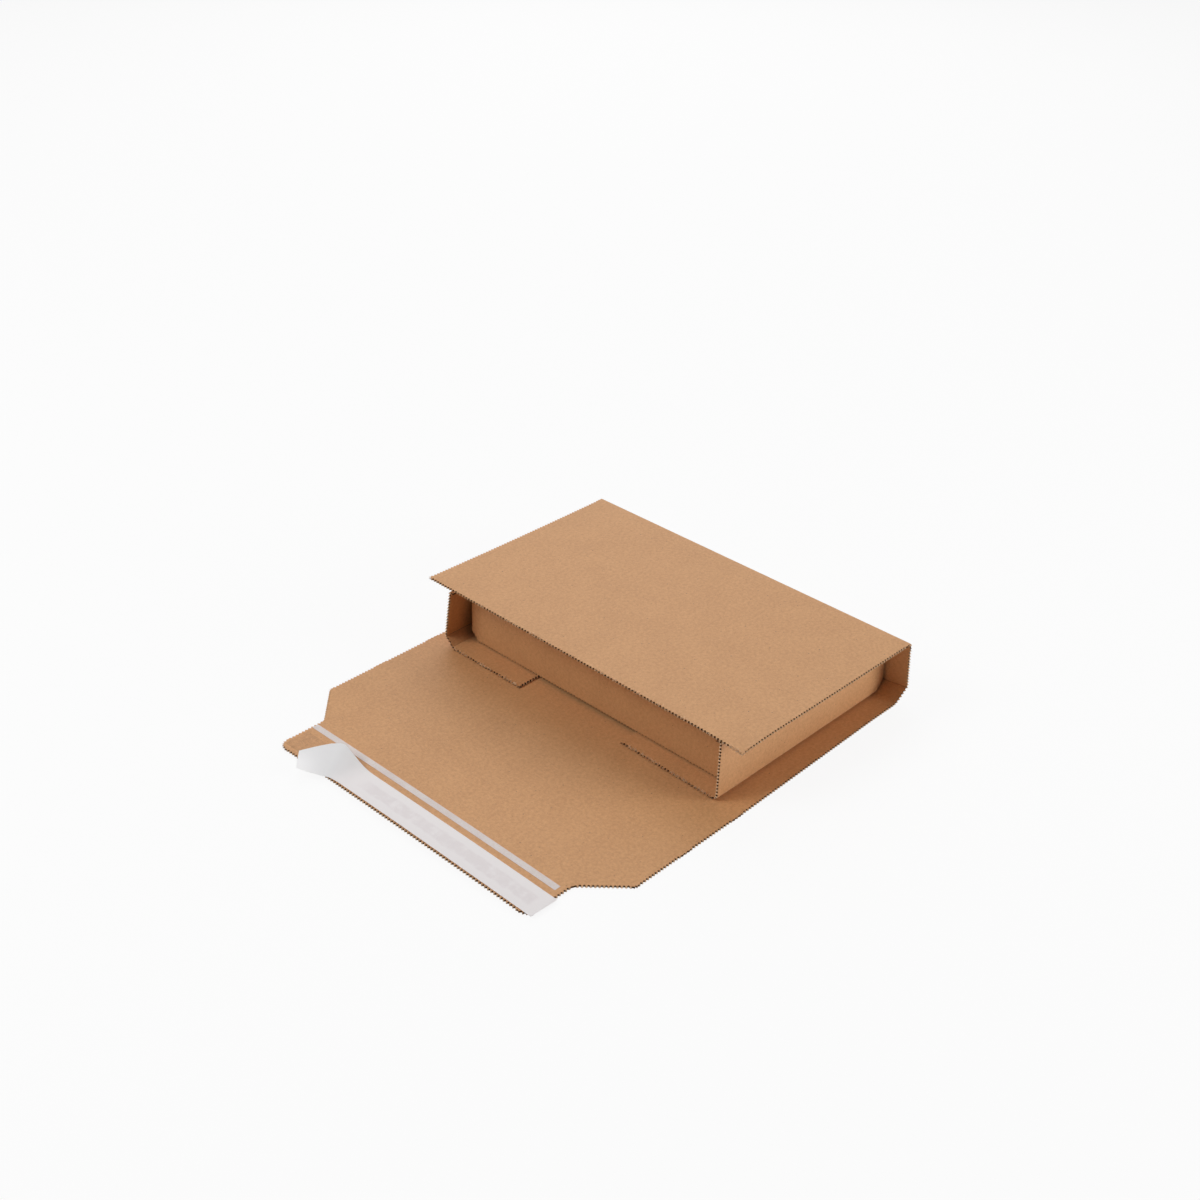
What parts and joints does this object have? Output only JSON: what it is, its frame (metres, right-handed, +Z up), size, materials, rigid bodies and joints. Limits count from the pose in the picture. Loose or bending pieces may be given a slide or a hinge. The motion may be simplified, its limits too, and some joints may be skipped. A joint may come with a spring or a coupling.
{
  "type": "book wrap mailer",
  "caption": "Open book wrap mailer of kraft corrugated board: hinged lid with inner tray, wide base and a creased closing flap with tear tape and a self-seal strip.",
  "frame": {"origin": "middle of the flat underside, midway between the spine fold and the front edge of the closing tab", "axes": "+Z up, +Y towards the spine, +X to the right along the folds, seen from the closing flap"},
  "size_m": [0.292, 0.3606, 0.051],
  "materials": {
    "wrap_board": "matte natural kraft liner",
    "tray_board": "matte natural kraft liner",
    "tear_tape": "thin translucent film with fine lengthwise ribs",
    "adhesive": "clear tacky film, slightly glossy",
    "liner_paper": "smooth silicone-coated white paper"
  },
  "bodies": {
    "base": {"base_sheet": "wrap_board"},
    "lid": {"lid_panel": "wrap_board", "inner_tray": "tray_board"},
    "riser": {"front_riser": "wrap_board"},
    "flap": {"closing_flap": "wrap_board", "rip_tape": "tear_tape", "adhesive_strip": "adhesive", "release_liner": "liner_paper"}
  },
  "joints": [
    {"name": "lid_fold", "type": "hinge", "parent": "base", "child": "lid", "pos_m": [0, 0.1725, 0.051], "axis": [-1, 0, 0], "range_deg": [0, 100]},
    {"name": "riser_crease", "type": "hinge", "parent": "base", "child": "riser", "pos_m": [0, -0.0097, 0.0016], "axis": [-1, 0, 0], "range_deg": [0, 90]},
    {"name": "flap_crease", "type": "hinge", "parent": "riser", "child": "flap", "pos_m": [0, -0.0596, 0.0016], "axis": [-1, 0, 0], "range_deg": [0, 80]}
  ]
}
